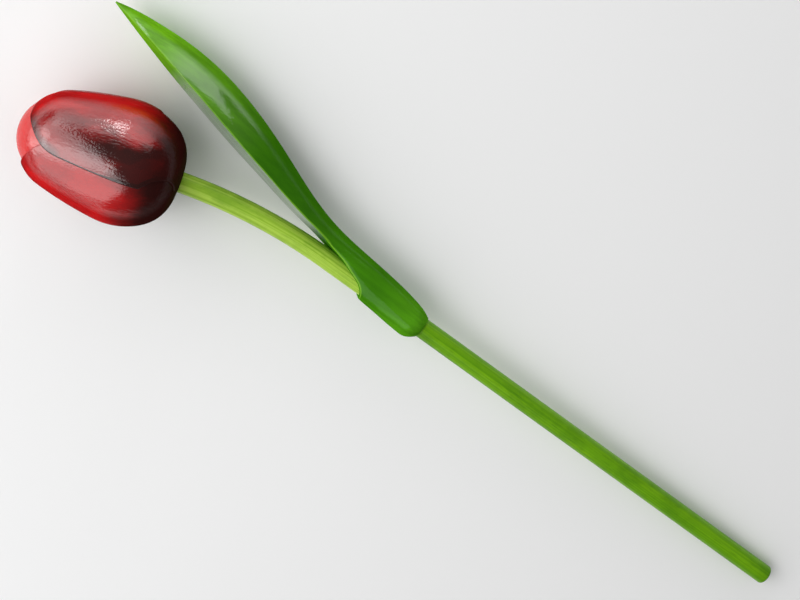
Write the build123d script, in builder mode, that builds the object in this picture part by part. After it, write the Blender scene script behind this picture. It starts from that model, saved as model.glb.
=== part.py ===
from build123d import *
import os
from math import cos, radians, sin, sqrt

# A carved and lacquered wooden tulip, lying on a table.
# It is drawn upright first: the stem's foot at the origin, the stem up +Z, the leaf towards +X,
# and the upper stem bending towards -X. The last section lays it down to rest on three points.
# All lengths are in millimetres and all angles in degrees.
# Carved surfaces are cut as narrow flats on the true curve, as a knife leaves them before sanding.

# Dowels and glued sockets
dowel_radius = 4.0
glue_gap = 0.05
cut_overrun = 2.0

# Lower stem: its upper end is turned down to a tenon that fills the leaf's narrow lower bore
exposed_stem = 179.0
foot_rounding = 1.0
stem_tenon_radius = 3.0

# Upper stem, measured from the leaf's lower end
stem_socket_depth = 14.0
bend_height = 46.0
bend_radius = 223.0
bend_angle = 16.1
tenon_length = 20.0

# Flower head: the outer surface that the three petals follow, and the bud inside them
petal_count = 3
head_radius = 23.7
belly_height = 22.3
base_hollow = 1.2
base_corner = (19.6, 8.0)
petal_profile = ((23.45, 26.0), (18.2, 49.3), (8.6, 59.7))
bud_height = 62.4
bud_shoulder = (13.5, 54.8)
petal_lift = 1.3
bore_end_room = 0.5
petal_half_angle = 69.0
first_petal_angle = -42.0
petal_tip_heights = (59.6, 57.4, 59.4)
petal_arch_height = 10.6
petal_arch_half_width = 16.6
petal_root_height = 18.4
petal_root_half_width = 10.2
head_facet = 4.2

# Leaf
leaf_length = 165.5
leaf_reach = 35.4
leaf_half_width = 13.5
sleeve_radius = 7.05
sleeve_length = 28.0
throat_height = 52.0
face_allowance = 1.2
blade_squareness = 0.6
leaf_strips = 12
tip_trim = 3.0

# Sleeve sections: height in sleeve lengths, then neck side, leaf side and half width in sleeve radii
sleeve_shares = (
    (0.00, -0.64, 0.65, 0.66),
    (0.06, -0.83, 0.76, 0.84),
    (0.13, -0.97, 0.87, 0.96),
    (0.25, -1.00, 0.99, 1.00),
    (0.46, -0.94, 1.15, 1.03),
    (0.72, -0.84, 1.29, 1.03),
    (1.00, -0.72, 1.41, 1.03),
)
# Blade sections: height in leaf lengths, inner face and back in leaf reaches, half width in its own largest
blade_shares = (
    (0.31, 0.148, 0.365, 0.60),
    (0.39, 0.212, 0.475, 0.68),
    (0.49, 0.308, 0.660, 0.80),
    (0.60, 0.419, 0.842, 0.93),
    (0.71, 0.543, 0.962, 1.00),
    (0.82, 0.670, 1.000, 0.90),
    (0.90, 0.766, 0.978, 0.64),
    (0.96, 0.838, 0.942, 0.33),
    (1.00, 0.886, 0.900, 0.06),
)
# Throat: where the sawn inner face leaves the sleeve, in sleeve lengths and sleeve radii
throat_shares = ((0.86, -1.30), (1.01, -0.46), (1.24, 0.05), (1.48, 0.40), (1.67, 0.58))

# Values worked out from the sizes above
sleeve_end = exposed_stem
meeting_height = sleeve_end + stem_socket_depth
bore_radius = dowel_radius + glue_gap
turn = 360 / petal_count
petal_shift = petal_lift / (sin(radians(petal_half_angle)) + sin(radians(turn - petal_half_angle)))
rest_rounds = 3


def leaf_height(share):
    """Height of a place on the leaf, from its share of the leaf's length."""
    return sleeve_end + share * leaf_length


def facet_points(corners, heading):
    """Points about one facet apart on arcs that run on from each other through the corners."""
    chain = [Vector(*corners[0])]
    for start, end in zip(corners, corners[1:]):
        arc = TangentArc(start, end, tangent=heading, mode=Mode.PRIVATE)
        heading = arc % 1
        count = max(1, round(arc.length / head_facet))
        chain += [arc @ (step / count) for step in range(1, count + 1)]
    return chain


def turned_profile(inset, rising_points, top_height):
    """Half the outline of a turned egg: from the hollow at the stem out to the belly, up through the
    rising points, and over to the axis as a dome or a flat top."""
    belly = (head_radius - inset, belly_height)
    corner = (base_corner[0] - inset, base_corner[1] + inset / 2)
    falling = facet_points((belly, corner, (0, base_hollow + inset / 2)), (0, -1))
    rising = facet_points((belly, *rising_points), (0, 1))
    dome = [(0, top_height)]
    if top_height > rising_points[-1][1]:
        dome = facet_points(((0, top_height), rising_points[-1]), (1, 0))[:-1]
    Polyline(*falling[::-1], *rising[1:], *dome[::-1], close=True)


def petal(head_plane, facing, tip_height):
    """One petal: the outer egg turned about its own axis, shifted towards the petal's raised edge, and
    cut to the petal's outline. Its covered edge sinks under the next petal."""
    middle = Plane(head_plane.location * Rotation(0, 0, facing))
    axis_point = middle.from_local_coords((0, -petal_shift, 0))
    covered = Plane(head_plane.location * Rotation(0, 0, facing + petal_half_angle))
    section = Plane(axis_point, x_dir=covered.x_dir, z_dir=-covered.y_dir)
    front = Plane(axis_point, x_dir=middle.y_dir, z_dir=middle.x_dir)
    arch_base = tip_height - petal_arch_height
    with BuildPart() as shape:
        with BuildSketch(section):
            with BuildLine():
                turned_profile(0, petal_profile, petal_profile[-1][1])
            make_face()
        revolve(axis=Axis(axis_point, -head_plane.z_dir), revolution_arc=2 * petal_half_angle)
        with BuildSketch(front):
            with BuildLine():
                Polyline(
                    (-petal_arch_half_width, arch_base), (-head_radius, arch_base),
                    (-head_radius, petal_root_height), (-petal_root_half_width, 0), (head_radius, 0),
                    (head_radius, arch_base), (petal_arch_half_width, arch_base)
                )
                EllipticalCenterArc(
                    (0, arch_base), petal_arch_half_width, petal_arch_height, start_angle=0, arc_size=180
                )
            make_face()
        extrude(amount=head_radius + petal_shift, mode=Mode.INTERSECT)
    return shape.part


def leaf_section(height, chord, half_width, back, front, squareness):
    """One cross-section of the leaf: two curves that meet on a chord across the leaf, in narrow strips."""
    outline = []
    for edge, side in ((back, 1), (front, -1)):
        bulge = chord + (edge - chord) * 4 / 3
        curve = Bezier(
            (chord, side * half_width), (bulge, side * squareness * half_width),
            (bulge, -side * squareness * half_width), (chord, -side * half_width), mode=Mode.PRIVATE
        )
        outline += [curve @ (strip / leaf_strips) for strip in range(leaf_strips)]
    with BuildSketch(Plane.XY.offset(height)) as section:
        with BuildLine():
            Polyline(*outline, close=True)
        make_face()
    return section.sketch


def table_direction(flower_arm, edge_arm, flower_rise, edge_rise):
    """The table's upward direction: a unit vector along which the two arms climb by the two rises."""
    normal = edge_arm.cross(flower_arm)
    spread = normal.dot(normal)
    slope = (normal.cross(edge_arm) * flower_rise + flower_arm.cross(normal) * edge_rise) * (1 / spread)
    return slope + normal * sqrt((1 - slope.dot(slope)) / spread)


# Lower stem: a straight dowel with a rounded foot and a tenon whose shoulder stops against the leaf
with BuildPart() as lower_stem:
    with BuildSketch(Plane.XY):
        Circle(dowel_radius)
    extrude(amount=sleeve_end)
    fillet(lower_stem.edges().sort_by(Axis.Z)[0], radius=foot_rounding)
    with BuildSketch(Plane.XY.offset(sleeve_end)):
        Circle(stem_tenon_radius)
    extrude(amount=stem_socket_depth)

# Upper stem: a dowel bent by steam, straight in the sleeve and straight again in the flower
with BuildPart() as upper_stem:
    with BuildLine(Plane.XZ) as stem_path:
        rise = Line((0, meeting_height), (0, sleeve_end + bend_height))
        bend = JernArc(rise @ 1, rise % 1, radius=bend_radius, arc_size=bend_angle)
        tenon = PolarLine(bend @ 1, tenon_length, angle=90 + bend_angle)
    with BuildSketch(Plane.XY.offset(meeting_height)):
        Circle(dowel_radius)
    sweep()

# Flower head: a bud with three petals that overlap in a spiral, bored for the upper stem
head_plane = Plane(bend @ 1, x_dir=(cos(radians(bend_angle)), 0, sin(radians(bend_angle))), z_dir=bend % 1)
head_section = Plane(head_plane.origin, x_dir=head_plane.x_dir, z_dir=-head_plane.y_dir)
petals = [
    petal(head_plane, first_petal_angle - turn * number, petal_tip_heights[number])
    for number in range(petal_count)
]
with BuildPart() as flower_head:
    with BuildSketch(head_section):
        with BuildLine():
            turned_profile(petal_lift, (bud_shoulder,), bud_height)
        make_face()
    revolve(axis=Axis(head_plane.origin, head_plane.z_dir))
    add(petals)
    with BuildSketch(head_plane):
        Circle(bore_radius)
    extrude(amount=tenon_length + bore_end_room, mode=Mode.SUBTRACT)

# Leaf: a carved blank, its inner face sawn, its foot bored from above for the upper stem and
# through for the lower stem's tenon
sections = []
for height, front, back, width in sleeve_shares:
    middle = (front + back) / 2 * sleeve_radius
    sections.append(leaf_section(
        sleeve_end + height * sleeve_length, middle, width * sleeve_radius,
        back * sleeve_radius, front * sleeve_radius, 1
    ))
for height, face, back, width in blade_shares:
    sections.append(leaf_section(
        leaf_height(height), face * leaf_reach, width * leaf_half_width,
        back * leaf_reach, face * leaf_reach - face_allowance * width, blade_squareness
    ))
with BuildPart() as leaf:
    loft(sections)
    with BuildSketch(Plane.XZ):
        with BuildLine():
            throat = [(x * sleeve_radius, sleeve_end + height * sleeve_length) for height, x in throat_shares]
            face_line = [(x * leaf_reach, leaf_height(height)) for height, x, _, _ in blade_shares]
            sawn = Spline(*throat, *face_line)
            top = leaf_height(1) + tip_trim
            Polyline(sawn @ 1, ((sawn @ 1).X, top), ((sawn @ 0).X, top), sawn @ 0)
        make_face()
    extrude(amount=2 * leaf_half_width, both=True, mode=Mode.SUBTRACT)
    with BuildSketch(Plane.XY.offset(meeting_height)):
        Circle(bore_radius)
    extrude(amount=throat_height - stem_socket_depth, mode=Mode.SUBTRACT)
    with BuildSketch(Plane.XY.offset(sleeve_end - cut_overrun)):
        Circle(stem_tenon_radius + glue_gap)
    extrude(amount=cut_overrun + stem_socket_depth, mode=Mode.SUBTRACT)

# Lay the tulip down. It rests on the foot, the flower's belly and one edge of the leaf: the table's
# direction is found from how far the flower and the leaf's edge stand above the foot, then each rise is
# put right by the lowest points of the real shapes.
foot_point = Vector(0, 0, foot_rounding)
flower_arm = head_plane.from_local_coords(Vector(0, 0, belly_height)) - foot_point
widest = max(blade_shares, key=lambda row: row[3])
edge_arm = Vector(widest[1] * leaf_reach, leaf_half_width, leaf_height(widest[0])) - foot_point
flower_rise = head_radius - dowel_radius
edge_rise = -dowel_radius
for _ in range(rest_rounds):
    table = Plane(
        foot_point, x_dir=(0, 0, -1), z_dir=table_direction(flower_arm, edge_arm, flower_rise, edge_rise)
    )
    foot_low, flower_low, leaf_low = [
        table.to_local_coords(piece.part).bounding_box().min.Z for piece in (lower_stem, flower_head, leaf)
    ]
    flower_rise -= flower_low - foot_low
    edge_rise -= leaf_low - foot_low

pieces = {"flower_head": flower_head, "upper_stem": upper_stem, "leaf": leaf, "lower_stem": lower_stem}
lying = {name: table.to_local_coords(piece.part) for name, piece in pieces.items()}
box = Compound(list(lying.values())).bounding_box()
middle_of_base = Location((-box.center().X, -box.center().Y, -box.min.Z))

os.makedirs("parts", exist_ok=True)
for name, piece in lying.items():
    placed = piece.moved(middle_of_base)
    placed.label = name
    size = placed.bounding_box().size
    print(f"{name}: {size.X:.1f} x {size.Y:.1f} x {size.Z:.1f} mm, {placed.volume / 1000:.1f} cm3")
    export_step(placed, f"parts/{name}.step")
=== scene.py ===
# %% [markdown]
# # A wooden tulip
# The object is a souvenir tulip of carved, painted wood: a red flower head, a bent dowel for its neck,
# a green leaf whose foot is a bored sleeve, and a straight dowel for the stem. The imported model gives
# the frame. Each of its four solids is replaced here by a surface with the finish of the real wood.

import bmesh
import bpy
import numpy as np
from mathutils import Euler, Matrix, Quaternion, Vector


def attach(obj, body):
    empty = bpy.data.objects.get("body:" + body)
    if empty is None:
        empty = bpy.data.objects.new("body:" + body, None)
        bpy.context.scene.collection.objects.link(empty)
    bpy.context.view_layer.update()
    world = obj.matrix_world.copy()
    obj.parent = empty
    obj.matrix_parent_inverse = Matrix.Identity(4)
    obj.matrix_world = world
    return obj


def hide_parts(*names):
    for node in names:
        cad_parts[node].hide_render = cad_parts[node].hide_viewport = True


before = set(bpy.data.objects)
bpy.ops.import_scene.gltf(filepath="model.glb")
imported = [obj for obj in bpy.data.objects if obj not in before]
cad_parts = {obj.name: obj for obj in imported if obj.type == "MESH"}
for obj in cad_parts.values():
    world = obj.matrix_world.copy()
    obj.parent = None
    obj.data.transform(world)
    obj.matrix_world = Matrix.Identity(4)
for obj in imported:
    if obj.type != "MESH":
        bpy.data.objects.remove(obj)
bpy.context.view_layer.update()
print("solids in the frame:", sorted(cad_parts))

# %% [markdown]
# The tulip is drawn standing up and then laid down, as a maker would hold it while turning and carving:
# stem up Z, leaf towards X, all in millimetres. Lying down is one turn and one move, which put the flower,
# the stem's foot and the leaf's edge on the table. Working it out once keeps every piece in one place.

# %% From the upright drawing to the table
MM = 0.001
TABLE_UP = np.array([-0.300824, -0.952380, 0.049774])
FOOT_TO_HEAD = np.array([-0.014992, -0.047463, -0.998760])
TURN_DOWN = np.array([FOOT_TO_HEAD, np.cross(TABLE_UP, FOOT_TO_HEAD), TABLE_UP])
FOOT_CENTRE = np.array([0.0, 0.0, 1.0])
FOOT_ON_TABLE = np.array([172.257, 2.639, 4.011])


def lay_down(points):
    """Metres on the table from millimetres upright: less the foot's centre, turned, then moved."""
    return ((points - FOOT_CENTRE) @ TURN_DOWN.T + FOOT_ON_TABLE) * MM


def stand_up(points):
    """The way back: metres on the table to millimetres upright."""
    return (points / MM - FOOT_ON_TABLE) @ TURN_DOWN + FOOT_CENTRE


print("the foot's face lies at", lay_down(np.zeros((1, 3)))[0].round(4))

# %% [markdown]
# A camera with a 75 mm lens stands almost above the tulip, as for a product picture on white paper. Its
# place was found by fitting the stem's and the neck's middle lines, so it is given as plain numbers.

# %% The camera
camera_data = bpy.data.cameras.new("photograph")
camera_data.lens = 75
camera_data.sensor_width = 36
camera = bpy.data.objects.new("photograph", camera_data)
camera.location = (-0.121898, 0.148394, 0.632741)
camera.rotation_euler = Euler((-0.275981, 0.007453, 0.654628))
bpy.context.scene.collection.objects.link(camera)
bpy.context.scene.camera = camera
print("camera height above the table:", round(camera.location.z, 3), "m")

# %% [markdown]
# Every piece below is a sheet of points worked out by formula, so one helper turns such sheets into a
# mesh. Points that fall together, at a pole or along a closed seam, are merged, which closes the surface.
# Each point keeps its place in the upright drawing, so wood grain can follow the blank it was cut from.


# %% Helpers that make a mesh from grids of points
def grid_faces(rows, columns, closed, first=0):
    """Four-cornered faces of a grid: each point, its right neighbour, and the two below them."""
    down = np.arange(rows - 1)[:, None] * columns
    right = np.arange(columns if closed else columns - 1)[None, :]
    after = (right + 1) % columns
    corners = (down + right, down + after, down + columns + after, down + columns + right)
    return np.stack(corners, -1).reshape(-1, 4) + first


DRAW_IN = 0.0011  # a share of the way to the middle, which keeps smooth curves inside the solids' flats
MERGE_WITHIN = 2e-6
SLIVER = 1e-7


def carry_mark(mesh, label, values):
    """Gives every point a value in metres, from millimetres, under a label that the materials read."""
    if label in mesh.attributes:
        mesh.attributes.remove(mesh.attributes[label])
    kind, field = ("FLOAT_VECTOR", "vector") if values.ndim == 2 else ("FLOAT", "value")
    layer = mesh.attributes.new(label, kind, "POINT")
    layer.data.foreach_set(field, (values * MM).astype(np.float32).ravel())


def make_piece(name, points, faces, values, sharp_angle=40):
    """A mesh piece laid on the table, with its doubled points merged and its faces turned outwards."""
    mesh = bpy.data.meshes.new(name)
    drawn_in = points + (points.mean(0) - points) * DRAW_IN
    mesh.from_pydata(lay_down(drawn_in), [], faces)
    for label, value in values.items():
        carry_mark(mesh, label, value)
    piece = bpy.data.objects.new(name, mesh)
    bpy.context.scene.collection.objects.link(piece)
    close_up(mesh, sharp_angle)
    print(name, "has", len(mesh.polygons), "faces")
    return piece


def close_up(mesh, sharp_angle):
    """Merges points nearer than 2 micrometres, turns the faces outwards and shades them smooth."""
    work = bmesh.new()
    work.from_mesh(mesh)
    bmesh.ops.remove_doubles(work, verts=work.verts, dist=MERGE_WITHIN)
    bmesh.ops.dissolve_degenerate(work, edges=work.edges, dist=SLIVER)
    bmesh.ops.recalc_face_normals(work, faces=work.faces)
    work.to_mesh(mesh)
    work.free()
    mesh.shade_smooth()
    mesh.set_sharp_from_angle(angle=np.radians(sharp_angle))


# %% [markdown]
# The stems are dowels. The lower one is straight, with a rounded foot and a thinner tenon for the leaf's
# bore. It is drawn as circles carried along a path: a list of lengths and radii gives the outline, and the
# path says where each circle's middle lies. A curve with a round bevel would do for the shaft, but not for
# the sharp step of the tenon.


# %% Dowels: circles carried along a path
STEM_RADIUS = 4.0
TENON_RADIUS = 3.0
FOOT_ROUNDING = 1.0
SLEEVE_END = 179.0  # the leaf's lower end, where the tenon goes in
MEETING_HEIGHT = 193.0  # where the two dowels meet inside the sleeve
POINTS_ROUND = 96
FIRST_SHAFT_ROW = 4.0
SHAFT_ROWS = 80


def around_axis(radii, angles, heights):
    """Points round Z: radius * cos(angle), radius * sin(angle) and height, with one row for each radius."""
    x = radii[:, None] * np.cos(angles)
    return np.stack([x, radii[:, None] * np.sin(angles), np.broadcast_to(heights[:, None], x.shape)], -1)


def carry_circles(name, lengths, radii, middles, outwards):
    """Circles on a path: middle + radius * (cos(angle) * outwards + sin(angle) * Y), closed at both ends."""
    angles = np.linspace(0, 2 * np.pi, POINTS_ROUND, endpoint=False)
    along_y = np.array([0, 1, 0])
    across = np.cos(angles)[None, :, None] * outwards[:, None, :] + np.sin(angles)[None, :, None] * along_y
    points = middles[:, None, :] + radii[:, None, None] * across
    blank = around_axis(radii, angles, lengths)
    faces = grid_faces(len(lengths), POINTS_ROUND, closed=True)
    return make_piece(name, points.reshape(-1, 3), faces, {"blank": blank.reshape(-1, 3)})


def straight_round(name, lengths, radii):
    """Circles whose middles lie on the Z axis, at the given lengths."""
    middles = np.stack([0 * lengths, 0 * lengths, lengths], -1)
    outwards = np.tile([1.0, 0, 0], (len(lengths), 1))
    return carry_circles(name, lengths, radii, middles, outwards)


foot_angle = np.radians(np.linspace(0, 90, 7))
foot_lengths = FOOT_ROUNDING * (1 - np.cos(foot_angle))
foot_radii = STEM_RADIUS - FOOT_ROUNDING + FOOT_ROUNDING * np.sin(foot_angle)
shaft = np.linspace(FIRST_SHAFT_ROW, SLEEVE_END, SHAFT_ROWS)
lengths = np.concatenate([[0], foot_lengths, shaft, [SLEEVE_END, MEETING_HEIGHT, MEETING_HEIGHT]])
radii = np.concatenate([[0], foot_radii, np.full(SHAFT_ROWS, STEM_RADIUS), [TENON_RADIUS, TENON_RADIUS, 0]])
lower_stem = straight_round("stem_dowel", lengths, radii)

# %% [markdown]
# The neck was steamed and bent round a form, between two straight ends. Its middle line is a straight, an
# arc and a straight, and each circle turns with the arc, so the dowel keeps its full roundness. The grain
# is drawn by the length along that line, because steamed wood bends with its fibres.

# %% The bent neck
BEND_START = 225.0
BEND_RADIUS = 223.0
BEND_ANGLE = np.radians(16.1)
NECK_TENON = 20.0
bend_end = BEND_START + BEND_RADIUS * BEND_ANGLE
lengths = np.concatenate([
    [MEETING_HEIGHT], np.linspace(MEETING_HEIGHT, BEND_START, 12), np.linspace(BEND_START, bend_end, 50)[1:],
    np.linspace(bend_end, bend_end + NECK_TENON, 6)[1:], [bend_end + NECK_TENON]
])
radii = np.full(len(lengths), STEM_RADIUS)
radii[[0, -1]] = 0
turned = np.clip((lengths - BEND_START) / BEND_RADIUS, 0, BEND_ANGLE)
before = np.minimum(lengths, BEND_START)
beyond = np.maximum(lengths - bend_end, 0)
middles = np.stack([
    -BEND_RADIUS * (1 - np.cos(turned)) - beyond * np.sin(BEND_ANGLE), 0 * lengths,
    before + BEND_RADIUS * np.sin(turned) + beyond * np.cos(BEND_ANGLE)
], -1)
outwards = np.stack([np.cos(turned), 0 * turned, np.sin(turned)], -1)
upper_stem = carry_circles("neck_dowel", lengths, radii, middles, outwards)

# %% [markdown]
# The flower head is one block, turned to an egg and then carved, so that three petals overlap in a spiral
# round a bud. Its outline is a chain of circle arcs that run on from each other without a corner, which a
# turner's skew chisel leaves too. Polynomial curves would do, but arcs keep the same fullness when resized.


# %% The egg's outline
def tangent_arc(start, heading, end, count):
    """The one arc that leaves start along heading and reaches end. Its radius is the chord squared over
    twice the chord's part square to heading, and it turns by twice the angle between chord and heading."""
    start, heading, end = np.array(start, float), np.array(heading, float), np.array(end, float)
    chord = end - start
    side = np.array([-heading[1], heading[0]])
    radius = chord @ chord / (2 * chord @ side)
    angle = 2 * np.arctan2(chord @ side, chord @ heading)
    turn = (angle * np.linspace(0, 1, count))[:, None]
    points = start + radius * side + radius * (np.sin(turn) * heading - np.cos(turn) * side)
    return points, np.cos(angle) * heading + np.sin(angle) * side


HEAD_RADIUS, BELLY_HEIGHT = 23.7, 22.3
FLANK_RADIUS, FLANK_HEIGHT = 19.6, 8.0
HOLLOW_HEIGHT = 1.2
PETAL_RISE = ((23.45, 26.0), (18.2, 49.3), (8.6, 59.7))
BUD_INSET = 1.3
BUD_RISE = ((13.5, 54.8),)
BUD_TOP = 62.4


def egg_outline(inset, rising_points, dome_height=None):
    """Radius and height from the hollow at the stem, past the belly, to the top, as joined tangent arcs."""
    belly = (HEAD_RADIUS - inset, BELLY_HEIGHT)
    flank = (FLANK_RADIUS - inset, FLANK_HEIGHT + inset / 2)
    side, heading = tangent_arc(belly, (0, -1), flank, 200)
    base, _ = tangent_arc(side[-1], heading, (0, HOLLOW_HEIGHT + inset / 2), 200)
    chain = [base[::-1], side[::-1][1:]]
    start, heading = belly, (0, 1)
    for point in rising_points:
        arc, heading = tangent_arc(start, heading, point, 300)
        chain.append(arc[1:])
        start = arc[-1]
    if dome_height:
        dome, _ = tangent_arc((0, dome_height), (1, 0), start, 200)
        chain.append(dome[::-1][1:])
    return np.concatenate(chain)


petal_outline = egg_outline(0, PETAL_RISE)
bud_outline = egg_outline(BUD_INSET, BUD_RISE, dome_height=BUD_TOP)
print("petal outline reaches", petal_outline.max(0).round(2), "and the bud", bud_outline.max(0).round(2))

# %% [markdown]
# A petal is a patch of that egg, turned about an axis that is shifted towards the petal's raised edge, so
# one edge stands 2 mm proud of the bud and the other sinks under the next petal. It is drawn as a grid
# between its two edges. Every point then sinks by its nearness to the edge, which rounds the rim as
# sandpaper does, and a second grid below closes the petal to a solid shell.

# %% Petal measurements
PETAL_HALF_ANGLE = np.radians(69)
PETAL_LAP = 1.3  # how far a raised edge stands over the petal that it covers
PETAL_SHIFT = PETAL_LAP / (np.sin(PETAL_HALF_ANGLE) + np.sin(np.radians(120) - PETAL_HALF_ANGLE))
ARCH_HEIGHT = 10.6
ARCH_HALF_WIDTH = 16.9
SHOULDER_HEIGHT = 45.0
ROOT_HEIGHT = 18.4
ROOT_HALF_WIDTH = 10.2
PETAL_DEPTH = 2.6
TIP_FULLNESS = 2.6  # 2 draws the raised edge in along an ellipse, and more keeps it fuller
RIM_ROUNDING = 0.55
STEM_HOLE = 4.05
HOLE_MARGIN = 0.6
PAST_BELLY = 30  # along the outline, from where the height only grows
PETAL_ROWS, ARCH_ROWS, PETAL_COLUMNS = 74, 40, 73
FACINGS = np.radians([-42, -162, 78])
TIP_HEIGHTS = (59.6, 57.4, 59.4)


def running_length(outline):
    """The length along an outline at each of its points: the steps' lengths, added up."""
    return np.concatenate([[0], np.cumsum(np.hypot(*np.diff(outline, axis=0).T))])


def along_outline(outline, lengths):
    """Radius, height and outward normal of an outline at the given lengths along it."""
    length = running_length(outline)
    radius, height = (np.interp(lengths, length, outline[:, axis]) for axis in (0, 1))
    slope = np.gradient(outline, length, axis=0)
    run, rise = (np.interp(lengths, length, slope[:, axis]) for axis in (0, 1))
    size = np.hypot(run, rise)
    return radius, height, rise / size, -run / size


def length_at(outline, column, value, beyond=0):
    """The length along an outline where its radius (0) or height (1) first passes a value."""
    length = running_length(outline)
    return length[np.argmax((outline[:, column] > value) & (length > beyond))]


print("each petal's axis is shifted by", round(PETAL_SHIFT, 2), "mm")

# %% [markdown]
# A petal's rows follow the egg's outline up to its shoulder, and above it an arch that narrows to the tip.
# Rows taken by the arch's own angle lie close together where it turns over, so the tip stays round
# without more faces elsewhere. The same holds across a row, where a sine crowds the points to both edges.

# %% One petal's rows
def petal_rows(tip_height):
    """Lengths along the outline, evenly up to the arch and then by the arch's own angle, with the half
    width that the arch leaves at each: arch half width * cos(angle)."""
    arch_base = tip_height - ARCH_HEIGHT
    start = length_at(petal_outline, 0, STEM_HOLE + HOLE_MARGIN)
    shoulder = length_at(petal_outline, 1, arch_base, beyond=PAST_BELLY)
    below_arch = np.linspace(start, shoulder, PETAL_ROWS)
    angle = np.linspace(0, np.pi / 2, ARCH_ROWS)[1:]
    just_past_tip = length_at(petal_outline, 1, tip_height - 1e-3, beyond=PAST_BELLY) + 0.2
    dense = np.linspace(shoulder, just_past_tip, 400)
    climb = along_outline(petal_outline, dense)[1]
    arch = np.interp(arch_base + ARCH_HEIGHT * np.sin(angle), climb, dense)
    width = np.concatenate([np.full(PETAL_ROWS, ARCH_HALF_WIDTH), ARCH_HALF_WIDTH * np.cos(angle)])
    return np.concatenate([below_arch, arch]), width


print("the first petal's rows end", petal_rows(TIP_HEIGHTS[0])[0][-1].round(1), "mm along the outline")


# %% The petal's outer face
def petal_points(facing, tip_height):
    """Points and normals of a petal's outer face. Across a row the angle runs from the raised edge to the
    covered edge, as the sine of an even step. Above the shoulder the raised edge draws in by
    (1 - climbed ** fullness) ** (1 / fullness)."""
    rows, width = petal_rows(tip_height)
    radius, height, out, up = along_outline(petal_outline, rows)
    reach = np.clip(width / radius, 0, 1)
    half = np.minimum(np.arcsin(reach), PETAL_HALF_ANGLE)
    half[:PETAL_ROWS] = PETAL_HALF_ANGLE
    root = ROOT_HALF_WIDTH + (HEAD_RADIUS - ROOT_HALF_WIDTH) * np.clip(height / ROOT_HEIGHT, 0, None)
    raised = np.minimum(half, np.arcsin(np.clip(root / radius, 0, 1)))
    climbed = np.clip((height - SHOULDER_HEIGHT) / (tip_height - SHOULDER_HEIGHT), 0, 1)
    raised = np.minimum(raised, PETAL_HALF_ANGLE * (1 - climbed ** TIP_FULLNESS) ** (1 / TIP_FULLNESS))
    share = np.sin(np.linspace(-np.pi / 2, np.pi / 2, PETAL_COLUMNS))
    angle = np.where(share < 0, share * raised[:, None], share * half[:, None])
    direction = angle + facing
    points = around_axis(radius, direction, height)
    points[..., 0] += PETAL_SHIFT * np.sin(facing)
    points[..., 1] -= PETAL_SHIFT * np.cos(facing)
    return points, around_axis(out, direction, up)


first_face = petal_points(FACINGS[0], TIP_HEIGHTS[0])[0]
print("the first petal spans", np.ptp(first_face.reshape(-1, 3), axis=0).round(1), "mm")


# %% The petal's shell
def nearest(points, line):
    """Distance from every point of a grid to the nearest point of a line."""
    return np.sqrt(((points[:, :, None, :] - line[None, None]) ** 2).sum(-1)).min(-1)


def petal_shell(facing, tip_height):
    """The outer grid, the same grid one petal's depth below, and a strip that joins their borders. The rim
    sinks to a quarter round: rounding * (1 - sqrt(1 - nearness ** 2)), with nearness 1 on the edge. The
    raised line and the tip line overlap by a few rows, so their distances run on into each other."""
    points, normal = petal_points(facing, tip_height)
    raised_line = points[6:PETAL_ROWS + 4, 0]
    tip_line = np.concatenate([points[PETAL_ROWS - 2:, 0], points[::-1][:-PETAL_ROWS + 2, -1]])
    covered_line = points[:, -1]
    to_raised = nearest(points, raised_line)
    to_tip = nearest(points, tip_line)
    to_edge = np.minimum(np.minimum(to_raised, to_tip), nearest(points, covered_line))
    nearness = np.clip(1 - to_edge / RIM_ROUNDING, 0, 1)
    sink = RIM_ROUNDING * (1 - np.sqrt(1 - nearness ** 2))
    outer = points - normal * sink[..., None]
    inner = points - normal * PETAL_DEPTH
    rows, columns = to_edge.shape
    count = rows * columns
    number = np.arange(count).reshape(rows, columns)
    border = np.concatenate([number[:, 0], number[-1, 1:], number[-2::-1, -1], number[0, -2:0:-1]])
    strip = np.stack([border, np.roll(border, -1), np.roll(border, -1) + count, border + count], -1)
    faces = np.concatenate([
        grid_faces(rows, columns, False), grid_faces(rows, columns, False, count)[:, ::-1], strip
    ])
    both = np.concatenate([outer.reshape(-1, 3), inner.reshape(-1, 3)])
    return both, faces, {"raised": np.tile(to_raised.ravel(), 2), "tip": np.tile(to_tip.ravel(), 2)}


print("one petal has", PETAL_ROWS + ARCH_ROWS - 1, "rows of", PETAL_COLUMNS, "points")

# %% [markdown]
# The bud is what is left of the turned egg between the petals, bored from below for the neck. It is one
# profile, from the bore's end down and round to the top, turned about the axis. The bud and the petals
# become one mesh, since they are one block of wood, and each point keeps the number of its petal, so that
# paint can tell them apart.


# %% The bud and the whole head
BORE_DEPTH = 20.5
CHAMFER, CHAMFER_MIDDLE = 0.3, 0.09
BUD_ROWS, BUD_COLUMNS = 110, 128
FAR_FROM_EDGES = 50.0  # further than any of the paint's fades reaches
PETAL_NUMBERS = (0.0, 1000.0, 2000.0, 3000.0)  # in the mesh's metres: 0 on the bud, then 1, 2 and 3


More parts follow.
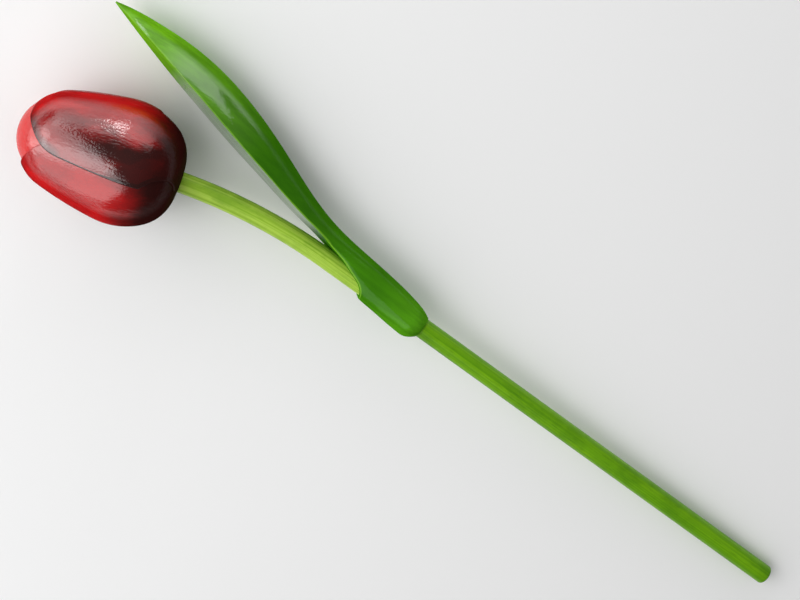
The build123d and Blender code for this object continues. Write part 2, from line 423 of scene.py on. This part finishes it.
def turned_bud():
    """A surface of revolution: radius * cos, radius * sin and height, from the bore's end, down the bore
    and up the outline to the top."""
    share = np.linspace(0, 1, BUD_ROWS)
    start = length_at(bud_outline, 0, STEM_HOLE + CHAMFER)
    lengths = start * (1 - share) + running_length(bud_outline)[-1] * share
    radius, height, _, _ = along_outline(bud_outline, lengths)
    mouth = height[0]
    radius = np.concatenate([[0, STEM_HOLE, STEM_HOLE, STEM_HOLE + CHAMFER_MIDDLE], radius])
    height = np.concatenate([[BORE_DEPTH, BORE_DEPTH, mouth + CHAMFER, mouth + CHAMFER_MIDDLE], height])
    radius[-1] = 0
    angle = np.linspace(0, 2 * np.pi, BUD_COLUMNS, endpoint=False)
    points = around_axis(radius, angle, height).reshape(-1, 3)
    far = np.full(len(points), FAR_FROM_EDGES)
    return points, grid_faces(len(height), BUD_COLUMNS, True), {"raised": far, "tip": far}


head_up = np.array([-np.sin(BEND_ANGLE), 0, np.cos(BEND_ANGLE)])
head_axes = np.array([[np.cos(BEND_ANGLE), 0, np.sin(BEND_ANGLE)], [0, 1, 0], head_up])
shells = [turned_bud()] + [petal_shell(facing, tip) for facing, tip in zip(FACINGS, TIP_HEIGHTS)]
starts = np.cumsum([0] + [len(points) for points, _, _ in shells])
head_points = np.concatenate([points for points, _, _ in shells])
head_values = {
    label: np.concatenate([values[label] for _, _, values in shells]) for label in ("raised", "tip")
}
head_values["petal"] = np.repeat(PETAL_NUMBERS, np.diff(starts))
head_values["blank"] = head_points
faces = np.concatenate([faces + start for (_, faces, _), start in zip(shells, starts)])
placed = middles[-1] - NECK_TENON * head_up + head_points @ head_axes
flower_head = make_piece("carved_flower", placed, faces, head_values, sharp_angle=50)

# %% [markdown]
# The leaf is the most carved piece: a sleeve round both dowels that opens, at a slanted throat, into a
# long blade whose inner face was sawn flat. Key cross-sections give its chord, both faces and its width at
# a few heights, and a natural cubic runs through each of them, which is how a spokeshave fairs a shape.
# The flat face is part of each row of points, so the arris between face and back is one clean line.

# %% The leaf's key sections
SLEEVE_RADIUS, SLEEVE_LENGTH = 7.05, 28.0
LEAF_LENGTH, LEAF_REACH, LEAF_HALF_WIDTH = 165.5, 35.4, 13.5
# The sleeve's rows: share of its length, then front, back and half width as shares of its radius.
SLEEVE = np.array([
    (0.00, -0.64, 0.65, 0.66), (0.06, -0.83, 0.76, 0.84), (0.13, -0.97, 0.87, 0.96),
    (0.25, -1.00, 0.99, 1.00), (0.46, -0.94, 1.15, 1.03), (0.72, -0.84, 1.29, 1.03),
    (1.00, -0.72, 1.41, 1.03)
])
# The blade's rows: share of its length, chord and back as shares of its reach, and share of its half width.
BLADE = np.array([
    (0.31, 0.148, 0.365, 0.60), (0.39, 0.212, 0.475, 0.68), (0.49, 0.308, 0.660, 0.80),
    (0.60, 0.419, 0.842, 0.93), (0.71, 0.543, 0.962, 1.00), (0.82, 0.670, 1.000, 0.90),
    (0.90, 0.766, 0.978, 0.64), (0.96, 0.838, 0.942, 0.33), (1.00, 0.886, 0.900, 0.06)
])
# The slanted throat: share of the sleeve's length, and the cut's place as a share of its radius.
THROAT = np.array([(0.86, -1.30), (1.01, -0.46), (1.24, 0.05), (1.48, 0.40), (1.67, 0.58)])
FACE_ALLOWANCE = 1.2  # how far the front bulges past the chord before it is sawn flat
SQUARENESS = 0.6
NO_FACE = -20.0  # in front of the whole leaf, so nothing is sawn off below the throat
print("key sections:", len(SLEEVE), "in the sleeve,", len(BLADE), "in the blade")


# %% A fair line through the key sections
def smooth_through(places, values, at):
    """Natural cubic through the values: its pieces agree in slope and bend, and the bend ends at nought."""
    step = np.diff(places)
    rise = np.diff(values) / step
    inner = np.arange(1, len(places) - 1)
    system, right = np.eye(len(places)), np.zeros(len(places))
    system[inner, inner - 1] = step[:-1]
    system[inner, inner] = 2 * (step[:-1] + step[1:])
    system[inner, inner + 1] = step[1:]
    right[1:-1] = 6 * np.diff(rise)
    bend = np.linalg.solve(system, right)
    k = np.clip(np.searchsorted(places, at) - 1, 0, len(places) - 2)
    past = at - places[k]
    slope = rise[k] - step[k] * (2 * bend[k] + bend[k + 1]) / 6
    cubic = past ** 3 * (bend[k + 1] - bend[k]) / (6 * step[k])
    return values[k] + past * slope + past ** 2 * bend[k] / 2 + cubic


def leaf_lines(height):
    """Chord, front, back, half width, squareness and sawn face at each height above the sleeve's end."""
    places = np.concatenate([SLEEVE[:, 0] * SLEEVE_LENGTH, BLADE[:, 0] * LEAF_LENGTH])
    blade_front = BLADE[:, 1] * LEAF_REACH - FACE_ALLOWANCE * BLADE[:, 3]
    front = np.concatenate([SLEEVE[:, 1] * SLEEVE_RADIUS, blade_front])
    back = np.concatenate([SLEEVE[:, 2] * SLEEVE_RADIUS, BLADE[:, 2] * LEAF_REACH])
    chord = np.concatenate([(SLEEVE[:, 1] + SLEEVE[:, 2]) / 2 * SLEEVE_RADIUS, BLADE[:, 1] * LEAF_REACH])
    width = np.concatenate([SLEEVE[:, 3] * SLEEVE_RADIUS, BLADE[:, 3] * LEAF_HALF_WIDTH])
    square = np.concatenate([np.ones(len(SLEEVE)), np.full(len(BLADE), SQUARENESS)])
    face_places = np.concatenate([THROAT[:, 0] * SLEEVE_LENGTH, BLADE[:, 0] * LEAF_LENGTH])
    face_values = np.concatenate([THROAT[:, 1] * SLEEVE_RADIUS, BLADE[:, 1] * LEAF_REACH])
    face = np.where(height < face_places[0], NO_FACE, smooth_through(face_places, face_values, height))
    lines = [smooth_through(places, value, height) for value in (chord, front, back, width, square)]
    lines[0] = np.where(height > BLADE[0, 0] * LEAF_LENGTH, face, lines[0])
    return (*lines, face)


widest = LEAF_LENGTH * BLADE[BLADE[:, 3].argmax(), 0]
print("the blade is", 2 * leaf_lines(np.array([widest]))[3].round(2), "mm wide at its widest section")

# %% [markdown]
# A row of the leaf's grid goes once round a cross-section. The back and the front are each a half round
# with one bulge, and the front is cut off where the saw went. A broken arris catches the light as a thin
# line, so the corner gets its own seven points. Rows lie closest round the throat, where the form turns.


# %% The leaf's grid
def half_round(share, chord, edge, half_width, squareness):
    """A curve that leaves the chord at share 0 and comes back at share 1. With p = share * (1 - share),
    x = chord + 4 * (edge - chord) * p and
    y = half width * (1 - 2 * share) * (1 + (3 * squareness - 1) * p)."""
    p = share * (1 - share)
    return chord + 4 * (edge - chord) * p, half_width * (1 - 2 * share) * (1 + (3 * squareness - 1) * p)


def leaf_rows(heights, columns=44, face_columns=14, arris=0.45):
    """Each row goes from the middle of the back to the arris, across the sawn face and back on the other
    side. The front meets the face at the share where share * (1 - share) is the cut, at most a quarter.
    The corner at each arris is a small parabola: corner + (1 - t) ** 2 * along + t ** 2 * inward."""
    chord, front, back, width, square, face = (line[:, None] for line in leaf_lines(heights))
    cut = np.clip((face - chord) / (4 * (front - chord)), 0, 0.25)
    arris_share = (1 - np.sqrt(1 - 4 * cut)) / 2
    travel = np.linspace(0, 1, columns)[None, :] * (0.5 + arris_share)
    back_x, back_y = half_round(np.clip(0.5 - travel, 0, 0.5), chord, back, width, square)
    front_x, front_y = half_round(np.clip(travel - 0.5, 0, 0.5), chord, front, width, square)
    on_back = travel <= 0.5
    x = np.where(on_back, back_x, front_x)
    y = np.where(on_back, back_y, front_y)
    corner = np.stack([x[:, -1], y[:, -1]], -1)
    before = np.stack([x[:, -2], y[:, -2]], -1) - corner
    gap = np.linalg.norm(before, axis=1)
    # Where the last step or the face is short, as at the tip, the arris is set back less.
    set_back = np.minimum(np.minimum(arris, 0.6 * gap), 0.4 * corner[:, 1])
    along = before / np.maximum(gap, 1e-9)[:, None] * set_back[:, None]
    inward = np.stack([0 * set_back, -set_back], -1)
    t = np.linspace(0, 1, 7)[None, :, None]
    bevel = corner[:, None] + (1 - t) ** 2 * along[:, None] + t ** 2 * inward[:, None]
    side = np.concatenate([np.stack([x, y], -1)[:, :-1], bevel], 1)
    reach = side[:, -1, 1]
    flat_y = reach[:, None] * np.linspace(1, -1, face_columns)[None, 1:-1]
    flat = np.stack([np.broadcast_to(corner[:, :1], flat_y.shape), flat_y], -1)
    mirrored = side[:, ::-1] * np.array([1, -1])
    row = np.concatenate([side, flat, mirrored[:, :-1]], 1)
    return row, corner


LEAF_SPANS = ((0, 3, 8), (3, 20, 24), (20, 50, 70), (50, 150, 130))  # from, to and number of rows
LEAF_SHARP = 35
spans = [np.linspace(*span)[:-1] for span in LEAF_SPANS]
heights = np.concatenate([*spans, np.linspace(150, LEAF_LENGTH, 40)])
rows, arris_line = leaf_rows(heights)
level = np.broadcast_to(heights[:, None] + SLEEVE_END, rows.shape[:2])
grid = np.concatenate([rows, level[..., None]], -1)
ends = [np.broadcast_to(grid[end].mean(0), grid[end].shape)[None] for end in (0, -1)]
grid = np.concatenate([ends[0], grid, ends[1]])
faces = grid_faces(*grid.shape[:2], closed=True)
leaf = make_piece("carved_leaf", grid.reshape(-1, 3), faces, {}, sharp_angle=LEAF_SHARP)

# %% [markdown]
# The sleeve is bored from both ends: wide from the throat for the neck, narrow from below for the tenon.
# A drill is a cylinder, so the holes are cut with one, by Blender's exact Boolean. Working the bore into
# the grid would be possible too, but the oval where it breaks out in the throat would be hard to follow.

# %% Boring the leaf
TENON_HOLE = 3.05
BORE_STEP = MEETING_HEIGHT - SLEEVE_END
DRILL_BELOW, DRILL_ABOVE = -2, 60  # past both ends of the sleeve
drill_places = np.repeat([DRILL_BELOW, BORE_STEP, DRILL_ABOVE], 2)
drill_radii = np.array([0, TENON_HOLE, TENON_HOLE, STEM_HOLE, STEM_HOLE, 0])
drill = straight_round("drill", SLEEVE_END + drill_places, drill_radii)
cut = leaf.modifiers.new("bore", "BOOLEAN")
cut.object = drill
cut.operation = "DIFFERENCE"
cut.solver = "EXACT"
bored = bpy.data.meshes.new_from_object(leaf.evaluated_get(bpy.context.evaluated_depsgraph_get()))
leaf.modifiers.clear()
leaf.data = bored
bpy.data.objects.remove(drill)
bored.shade_smooth()
bored.set_sharp_from_angle(angle=np.radians(LEAF_SHARP))
print("bored leaf:", len(bored.polygons), "faces")

# %% [markdown]
# Paint needs to know where on the leaf it is. The Boolean leaves new points without marks, so the marks
# are measured afterwards, from each point's place in the upright drawing: its place in the blank, its
# distance from the nearer arris, and its distance from the plane of the sawn face.

# %% Grain, arris and saw marks on the leaf
MARKS_START = 24  # above the sleeve's end: the throat below it has no arris
FAR_FROM_ARRIS = 20
places = np.zeros(len(bored.vertices) * 3, np.float32)
bored.vertices.foreach_get("co", places)
upright = stand_up(places.reshape(-1, 3).astype(float))
above = np.clip(upright[:, 2] - SLEEVE_END, 0, LEAF_LENGTH)
arris_x, arris_y = (np.interp(above, heights, arris_line[:, axis]) for axis in (0, 1))
from_arris = np.hypot(upright[:, 0] - arris_x, np.abs(upright[:, 1]) - arris_y)
from_arris[above < MARKS_START] = FAR_FROM_ARRIS
from_face = np.abs(np.interp(above, heights, arris_line[:, 0]) - upright[:, 0])
from_face[above < MARKS_START] = FAR_FROM_ARRIS
for label, value in (("blank", upright), ("arris", from_arris), ("sawn", from_face)):
    carry_mark(bored, label, value)
print("nearest point to an arris:", from_arris.min().round(3), "mm")


# %% [markdown]
# Materials are networks of nodes. Writing them needs a few small helpers: one adds a node and fills its
# inputs with values or links, and the others add what comes up again and again, such as a smooth step or a
# blend of two colours. Effects that several finishes share are node groups, so that one change reaches
# every piece, as one can of lacquer does in the workshop.


# %% A short way to write nodes
def put(tree, kind, inputs=None, **settings):
    """Adds a node, applies its settings, and fills each input with a value or a link."""
    made = tree.nodes.new(kind)
    for name, value in settings.items():
        setattr(made, name, value)
    for name, value in (inputs or {}).items():
        if isinstance(value, bpy.types.NodeSocket):
            tree.links.new(value, made.inputs[name])
        else:
            made.inputs[name].default_value = value
    return made


def sum_of(tree, operation, *values, clamp=False):
    """The result of one Math node on two or three values."""
    inputs = dict(enumerate(values))
    return put(tree, "ShaderNodeMath", inputs, operation=operation, use_clamp=clamp).outputs[0]


def fade(tree, value, start, end, low=0.0, high=1.0):
    """A smooth step: low at start, high at end, level beyond both."""
    inputs = {"Value": value, "From Min": start, "From Max": end, "To Min": low, "To Max": high}
    return put(tree, "ShaderNodeMapRange", inputs, interpolation_type="SMOOTHSTEP").outputs["Result"]


def blend(tree, share, first, second):
    """A colour between two, by share."""
    colours = [value if isinstance(value, bpy.types.NodeSocket) else (*value, 1) for value in (first, second)]
    mix = put(tree, "ShaderNodeMix", {0: share, 6: colours[0], 7: colours[1]}, data_type="RGBA")
    return mix.outputs[2]


def mark(tree, label, output="Fac"):
    """A value that the mesh carries at its points."""
    return put(tree, "ShaderNodeAttribute", attribute_name=label).outputs[output]


def noise(tree, place, scales, detail=2.0, roughness=0.5):
    """Noise over a place stretched by three scales, each in waves per metre."""
    stretched = put(tree, "ShaderNodeVectorMath", {0: place, 1: scales}, operation="MULTIPLY").outputs[0]
    inputs = {"Vector": stretched, "Scale": 1.0, "Detail": detail, "Roughness": roughness}
    return put(tree, "ShaderNodeTexNoise", inputs).outputs["Fac"]


print("node helpers:", [helper.__name__ for helper in (put, sum_of, fade, blend, mark, noise)])


# %% A short way to start materials and groups
def new_material(name):
    """An empty material and its output node."""
    material = bpy.data.materials.new(name)
    material.use_nodes = True
    material.node_tree.nodes.clear()
    return material, put(material.node_tree, "ShaderNodeOutputMaterial")


def new_group(name, inputs, outputs):
    """An empty node group with typed sockets, and its two end nodes."""
    group = bpy.data.node_groups.new(name, "ShaderNodeTree")
    for direction, sockets in (("INPUT", inputs), ("OUTPUT", outputs)):
        for label, kind in sockets.items():
            group.interface.new_socket(label, in_out=direction, socket_type="NodeSocket" + kind)
    return group, put(group, "NodeGroupInput").outputs, put(group, "NodeGroupOutput").inputs


def fill_group(tree, group, inputs):
    """The group's node, with its inputs filled once the group has given it sockets."""
    return put(tree, "ShaderNodeGroup", inputs, node_tree=group).outputs


print("materials so far:", len(bpy.data.materials), "and groups:", len(bpy.data.node_groups))

# %% [markdown]
# The gloss is lacquer brushed and sprayed over wood. It never dries quite flat: it keeps faint strokes along
# the piece and a fine orange peel, and both break the edge of every reflection into ragged steps. Three
# noises, one drawn out along the length, one slow and one fine, drive a bump, which costs no extra faces.

# %% Lacquer that keeps its brush strokes
brushed, given, result = new_group(
    "brushed lacquer", {"Place": "Vector", "Strokes": "Float", "Peel": "Float"},
    {"Normal": "Vector", "Cloud": "Float"}
)
strokes = noise(brushed, given["Place"], (620, 620, 150), detail=4.0, roughness=0.62)
swell = noise(brushed, given["Place"], (140, 140, 60), detail=1.0)
peel = noise(brushed, given["Place"], (1500, 1500, 1300), detail=1.0)
relief = sum_of(brushed, "MULTIPLY", strokes, given["Strokes"])
relief = sum_of(brushed, "MULTIPLY_ADD", swell, 0.9, relief)
relief = sum_of(brushed, "MULTIPLY_ADD", peel, given["Peel"], relief)
bump = put(brushed, "ShaderNodeBump", {"Height": relief, "Strength": 1.0, "Distance": 0.00018})
brushed.links.new(bump.outputs["Normal"], result["Normal"])
brushed.links.new(noise(brushed, given["Place"], (90, 90, 45), detail=4.0, roughness=0.65), result["Cloud"])
print("lacquer group:", len(brushed.nodes), "nodes")

# %% [markdown]
# Where the stain is thin the wood shows through: long fibres, paler and darker, with short pores between.
# The fibres follow the blank that each piece was cut or bent from, which is why every mesh carries its
# place in that blank. Round the bent neck they run along the curve, as they do in steamed wood.

# %% Wood grain under a stain
grain, given, result = new_group(
    "long grain", {"Place": "Vector", "Fibre": "Float"},
    {"Streaks": "Float", "Pores": "Float", "Normal": "Vector"}
)
fibre = put(grain, "ShaderNodeCombineXYZ", {"X": given["Fibre"], "Y": given["Fibre"], "Z": 9.0}).outputs[0]
streaks = noise(grain, given["Place"], fibre, detail=4.0, roughness=0.62)
streaks = fade(grain, streaks, 0.36, 0.64)
pores = noise(grain, given["Place"], (2600, 2600, 130), detail=2.0)
pores = fade(grain, pores, 0.60, 0.72)
pits = sum_of(grain, "MULTIPLY", pores, 0.8)
relief = sum_of(grain, "SUBTRACT", sum_of(grain, "MULTIPLY", streaks, 0.5), pits)
bump = put(grain, "ShaderNodeBump", {"Height": relief, "Strength": 0.6, "Distance": 0.00006})
grain.links.new(streaks, result["Streaks"])
grain.links.new(pores, result["Pores"])
grain.links.new(bump.outputs["Normal"], result["Normal"])
print("grain group:", len(grain.nodes), "nodes")

# %% [markdown]
# The flower was painted red and then airbrushed in black. The spray lies in a band along each petal's
# raised edge, densest a little inside it and low on the petal, with a thin black line on the edge itself,
# and again round the stem. An airbrush fades smoothly but a little cloudily, so the distances that the mesh
# carries go through smooth steps, in metres, and noise shifts where each step lies.

# %% Where the black airbrush went
material, output = new_material("airbrushed red lacquer")
tree = material.node_tree
place = mark(tree, "blank", "Vector")
lacquer = fill_group(tree, brushed, {"Place": place, "Strokes": 1.0, "Peel": 0.30})
facing = put(tree, "ShaderNodeLayerWeight", {"Blend": 0.5}).outputs["Facing"]
cloud = sum_of(tree, "SUBTRACT", lacquer["Cloud"], 0.5)
height = put(tree, "ShaderNodeSeparateXYZ", {0: place}).outputs["Z"]
uneven_height = sum_of(tree, "MULTIPLY_ADD", cloud, 0.012, height)
raised = sum_of(tree, "MULTIPLY_ADD", cloud, 0.012, mark(tree, "raised"))
tip = sum_of(tree, "MULTIPLY_ADD", cloud, 0.004, mark(tree, "tip"))
is_petal = sum_of(tree, "GREATER_THAN", mark(tree, "petal"), 0.5)
low_down = fade(tree, height, 0.036, 0.022, 0.0, 0.86)
near_edge = sum_of(tree, "MAXIMUM", fade(tree, raised, 0.001, 0.010, 0.42, 0.90), low_down)
along_edge = sum_of(tree, "MULTIPLY", near_edge, fade(tree, raised, 0.0205, 0.0115))
along_edge = sum_of(tree, "MULTIPLY", along_edge, fade(tree, height, 0.054, 0.030, 0.42, 1.05))
behind = sum_of(tree, "GREATER_THAN", mark(tree, "petal"), 2.5)
softer = sum_of(tree, "MULTIPLY_ADD", behind, -0.7, 1.0)
by_raised = fade(tree, raised, 0.030, 0.008, 0.15, 1.0)
at_tip = sum_of(tree, "MULTIPLY", fade(tree, tip, 0.006, 0.0005, 0.0, 0.8), by_raised)
# Only the first petal has the black line round its tip: on the others the tip counts as 10 mm further off.
lower_petals = sum_of(tree, "GREATER_THAN", mark(tree, "petal"), 1.5)
tip_of_first = sum_of(tree, "MULTIPLY_ADD", lower_petals, 0.01, mark(tree, "tip"))
line = sum_of(tree, "MINIMUM", mark(tree, "raised"), tip_of_first)
line = sum_of(tree, "SUBTRACT", line, fade(tree, height, 0.034, 0.014, 0.0, 0.0014))
line = fade(tree, line, 0.0011, 0.0005, 0.0, 0.96)
sprayed = sum_of(tree, "MAXIMUM", sum_of(tree, "MAXIMUM", along_edge, at_tip), line)
sprayed = sum_of(tree, "MULTIPLY", sum_of(tree, "MULTIPLY", sprayed, is_petal), softer)
at_stem = fade(tree, uneven_height, 0.027, 0.009, 0.0, 0.95)
sprayed = sum_of(tree, "MAXIMUM", sprayed, at_stem, clamp=True)
print("airbrush masks:", len(tree.nodes), "nodes so far")

# %% [markdown]
# Red lacquer dries a little deeper where it is thick, so two reds mix by a slow noise. The gloss is a clear
# coat over a dull colour. It weakens where the surface turns away from the eye and round the stem, where
# the spray left it rough, so that the lamps draw clean shapes on the petals without a grey veil.

# %% The flower's reds and its gloss
THICK_RED, THIN_RED = (0.39, 0.004, 0.005), (0.56, 0.007, 0.008)
BUD_RED = (0.62, 0.012, 0.010)
SPRAYED_BLACK = (0.013, 0.006, 0.005)
HOLLOW_BROWN = (0.030, 0.022, 0.006)
BUD_GLOSS = 0.55
petal_red = blend(tree, fade(tree, lacquer["Cloud"], 0.35, 0.65), THICK_RED, THIN_RED)
red = blend(tree, is_petal, BUD_RED, petal_red)
colour = blend(tree, sprayed, red, SPRAYED_BLACK)
colour = blend(tree, fade(tree, height, 0.004, 0.0005, 0.0, 0.7), colour, HOLLOW_BROWN)
above_stem = fade(tree, height, 0.008, 0.024, 0.12, 1.0)
gloss = sum_of(tree, "MULTIPLY", fade(tree, facing, 0.30, 0.60, 1.0, 0.03), above_stem)
gloss = sum_of(tree, "MAXIMUM", gloss, sum_of(tree, "MULTIPLY_ADD", is_petal, -BUD_GLOSS, BUD_GLOSS))
shader = put(tree, "ShaderNodeBsdfPrincipled", {
    "Base Color": colour, "Roughness": fade(tree, lacquer["Cloud"], 0.3, 0.7, 0.30, 0.42),
    "Normal": lacquer["Normal"], "Specular IOR Level": 0.0, "Coat Weight": gloss, "Coat Roughness": 0.035,
    "Coat IOR": 2.0
})
tree.links.new(lacquer["Normal"], shader.inputs["Coat Normal"])
tree.links.new(shader.outputs[0], output.inputs["Surface"])
red_lacquer = material
print(red_lacquer.name, "has", len(tree.nodes), "nodes")

# %% [markdown]
# The leaf's green lacquer is deepest in the middle of the blade and paler on the sleeve. Towards its tip it
# pales further, and that is a painted highlight for the lamp's pale reflection on the upper blade. The
# lacquer is thin enough that the grain still darkens it in soft streaks. The flat sawn face takes the fullest
# gloss. A paler green line along the arris is a painted highlight too, for the light that the rounded edge
# catches. That line uses the distance to the arris that the mesh carries, broken up by noise so that it isn't
# ruled.

# %% Green leaf lacquer
# The paler tip green is a painted highlight, standing for the lamp's reflection on the upper blade.
BLADE_GREEN, TIP_HIGHLIGHT_GREEN = (0.040, 0.178, 0.003), (0.190, 0.530, 0.012)
THROAT_GREEN, SLEEVE_GREEN = (0.055, 0.240, 0.004), (0.105, 0.380, 0.009)
STREAK_GREEN, CLOUD_GREEN = (0.018, 0.100, 0.003), (0.022, 0.120, 0.004)
# The pale arris green is a painted highlight, for the light that the rounded arris catches.
ARRIS_HIGHLIGHT_GREEN = (0.22, 0.50, 0.03)
material, output = new_material("green leaf lacquer")
tree = material.node_tree
place = mark(tree, "blank", "Vector")
lacquer = fill_group(tree, brushed, {"Place": place, "Strokes": 0.32, "Peel": 0.10})
facing = put(tree, "ShaderNodeLayerWeight", {"Blend": 0.5}).outputs["Facing"]
wood = fill_group(tree, grain, {"Place": place, "Fibre": 420.0})
height = put(tree, "ShaderNodeSeparateXYZ", {0: place}).outputs["Z"]
# Towards the tip the green pales: a painted highlight.
green = blend(tree, fade(tree, height, 0.262, 0.324), BLADE_GREEN, TIP_HIGHLIGHT_GREEN)
green = blend(tree, fade(tree, height, 0.238, 0.220), green, THROAT_GREEN)
green = blend(tree, fade(tree, height, 0.206, 0.181), green, SLEEVE_GREEN)
green = blend(tree, sum_of(tree, "MULTIPLY", wood["Streaks"], 0.30), green, STREAK_GREEN)
green = blend(tree, fade(tree, lacquer["Cloud"], 0.40, 0.70, 0.0, 0.35), green, CLOUD_GREEN)
upper_blade = fade(tree, height, 0.268, 0.284, 0.15, 1.0)
gloss = sum_of(tree, "MULTIPLY", fade(tree, facing, 0.24, 0.37, 1.0, 0.02), upper_blade)
gloss = sum_of(tree, "MULTIPLY", gloss, fade(tree, height, 0.324, 0.308, 0.25, 1.0))
on_face = fade(tree, mark(tree, "sawn"), 0.0004, 0.0001)
sawn = sum_of(tree, "MULTIPLY", on_face, fade(tree, height, 0.316, 0.298))
sawn = sum_of(tree, "MULTIPLY", sawn, fade(tree, height, 0.228, 0.246))
gloss = sum_of(tree, "MAXIMUM", gloss, sawn)
cloud = sum_of(tree, "SUBTRACT", lacquer["Cloud"], 0.5)
# A painted highlight: the green pales within a fraction of a millimetre of the arris.
arris_highlight_reach = sum_of(tree, "MULTIPLY_ADD", cloud, 0.0012, mark(tree, "arris"))
colour = blend(tree, fade(tree, arris_highlight_reach, 0.0008, 0.0002, 0.0, 0.7), green, ARRIS_HIGHLIGHT_GREEN)
shader = put(tree, "ShaderNodeBsdfPrincipled", {
    "Base Color": colour, "Roughness": fade(tree, lacquer["Cloud"], 0.3, 0.7, 0.32, 0.45),
    "Normal": lacquer["Normal"], "Specular IOR Level": 0.0, "Coat Weight": gloss, "Coat Roughness": 0.03,
    "Coat IOR": 2.0
})
tree.links.new(lacquer["Normal"], shader.inputs["Coat Normal"])
tree.links.new(shader.outputs[0], output.inputs["Surface"])
green_lacquer = material
print(green_lacquer.name, "has", len(tree.nodes), "nodes")

# %% [markdown]
# Both dowels are only stained and rubbed with a satin finish, so their grain shows most. The neck is a
# yellow green, the stem below a deeper one. One function makes both from their own colours, since the
# workshop does the same job twice with another stain.


# %% Stained dowels
def stained_dowel(name, pale, mid, dark, fibre):
    """Stain between three greens by the grain's streaks and pores, under a thin satin finish."""
    material, output = new_material(name)
    tree = material.node_tree
    place = mark(tree, "blank", "Vector")
    wood = fill_group(tree, grain, {"Place": place, "Fibre": fibre})
    lacquer = fill_group(tree, brushed, {"Place": place, "Strokes": 0.35, "Peel": 0.10})
    colour = blend(tree, wood["Streaks"], mid, pale)
    colour = blend(tree, fade(tree, lacquer["Cloud"], 0.42, 0.68, 0.0, 0.55), colour, dark)
    colour = blend(tree, sum_of(tree, "MULTIPLY", wood["Pores"], 0.55), colour, dark)
    shader = put(tree, "ShaderNodeBsdfPrincipled", {
        "Base Color": colour, "Roughness": fade(tree, wood["Streaks"], 0.0, 1.0, 0.48, 0.36),
        "Normal": wood["Normal"], "Specular IOR Level": 0.15, "Coat Weight": 0.12, "Coat Roughness": 0.25
    })
    tree.links.new(shader.outputs[0], output.inputs["Surface"])
    print(name, "has", len(tree.nodes), "nodes")
    return material


NECK_GREENS = ((0.47, 0.69, 0.080), (0.28, 0.50, 0.030), (0.15, 0.33, 0.016))
STEM_GREENS = ((0.19, 0.44, 0.004), (0.115, 0.325, 0.002), (0.058, 0.20, 0.002))
neck_stain = stained_dowel("yellow green stain", *NECK_GREENS, fibre=1100.0)
stem_stain = stained_dowel("mid green stain", *STEM_GREENS, fibre=1300.0)

# %% [markdown]
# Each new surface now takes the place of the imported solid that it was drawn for, with its own finish. The
# ornament is glued together, so all four ride on one body and move as one.

# %% Each piece gets its finish, its place on the body and the solid that it stands for
finishes = {
    flower_head: ("flower_head", red_lacquer),
    upper_stem: ("upper_stem", neck_stain),
    leaf: ("leaf", green_lacquer),
    lower_stem: ("lower_stem", stem_stain),
}
for piece, (node, material) in finishes.items():
    piece.data.materials.clear()
    piece.data.materials.append(material)
    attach(piece, "root")
    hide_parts(node)
print("pieces:", [piece.name for piece in finishes])

# %% [markdown]
# A product table is a sheet of pale paper under large softboxes. Glossy lacquer shows the lamps
# themselves, so their places were worked out backwards: from the camera to a highlight on the petals, and
# from there along the mirrored ray. A large softbox stands above and in front, and a slanting one and a
# left wing carry it on towards the flower's end. A low softbox lies beyond the flower. The dark gap between
# it and the others is what draws the petals' roundness. A small lamp gives the hot spot, and a fill that no
# lacquer mirrors opens the shadows.

# %% The paper
PAPER_HALF = 3
PAPER_WHITE = (0.90, 0.90, 0.90, 1)
floor_mesh = bpy.data.meshes.new("paper")
corners = [(x * PAPER_HALF, y * PAPER_HALF, 0) for x, y in ((-1, -1), (1, -1), (1, 1), (-1, 1))]
floor_mesh.from_pydata(corners, [], [(0, 1, 2, 3)])
floor = bpy.data.objects.new("paper", floor_mesh)
bpy.context.scene.collection.objects.link(floor)
paper, output = new_material("paper")
tree = paper.node_tree
shade = put(tree, "ShaderNodeBsdfDiffuse", {"Color": PAPER_WHITE})
tree.links.new(shade.outputs[0], output.inputs["Surface"])
floor_mesh.materials.append(paper)
print("the paper is", 2 * PAPER_HALF, "m wide")

# %% Softboxes and a dim room
TULIP_MIDDLE = Vector((-0.13, 0, 0.03))
ROOM_LIGHT = 0.08


def softbox(name, direction, distance, size, brightness, roll=0.0):
    """A rectangular lamp in a direction from the tulip, facing it. Its power is pi * area * brightness."""
    lamp = bpy.data.lights.new(name, "AREA")
    lamp.shape = "RECTANGLE"
    lamp.size, lamp.size_y = size
    lamp.energy = np.pi * size[0] * size[1] * brightness
    box = bpy.data.objects.new(name, lamp)
    box.location = Vector(direction).normalized() * distance + TULIP_MIDDLE
    facing_tulip = Vector(direction).to_track_quat("Z", "Y")
    box.rotation_euler = (facing_tulip @ Quaternion((0, 0, 1), np.radians(roll))).to_euler()
    box.visible_camera = False
    bpy.context.scene.collection.objects.link(box)
    print(name, "at", [round(value, 2) for value in box.location], "gives", round(lamp.energy, 1), "W")
    return box


softbox("large softbox", (-0.20, -0.67, 0.72), 1.0, (1.30, 1.50), 1.25, roll=-12)
softbox("slanting softbox", (-0.615, -0.01, 0.786), 1.0, (1.50, 0.80), 1.4, roll=49.5)
softbox("left wing", (-0.80, -0.35, 0.48), 1.0, (0.80, 0.80), 1.5)
softbox("low softbox", (-0.36, 0.92, 0.30), 1.0, (1.52, 0.62), 1.15, roll=8)
softbox("hot spot", (-0.44, 0.87, 0.25), 0.95, (0.09, 0.17), 8.0)
fill = softbox("fill", (0.50, 0.45, 0.74), 1.2, (1.2, 1.2), 0.5)
fill.visible_glossy = False
world = bpy.data.worlds.new("dim room")
bpy.context.scene.world = world
world.use_nodes = True
room = world.node_tree.nodes["Background"]
room.inputs["Color"].default_value = (1, 1, 1, 1)
room.inputs["Strength"].default_value = ROOM_LIGHT
bpy.context.scene.view_settings.view_transform = "Standard"
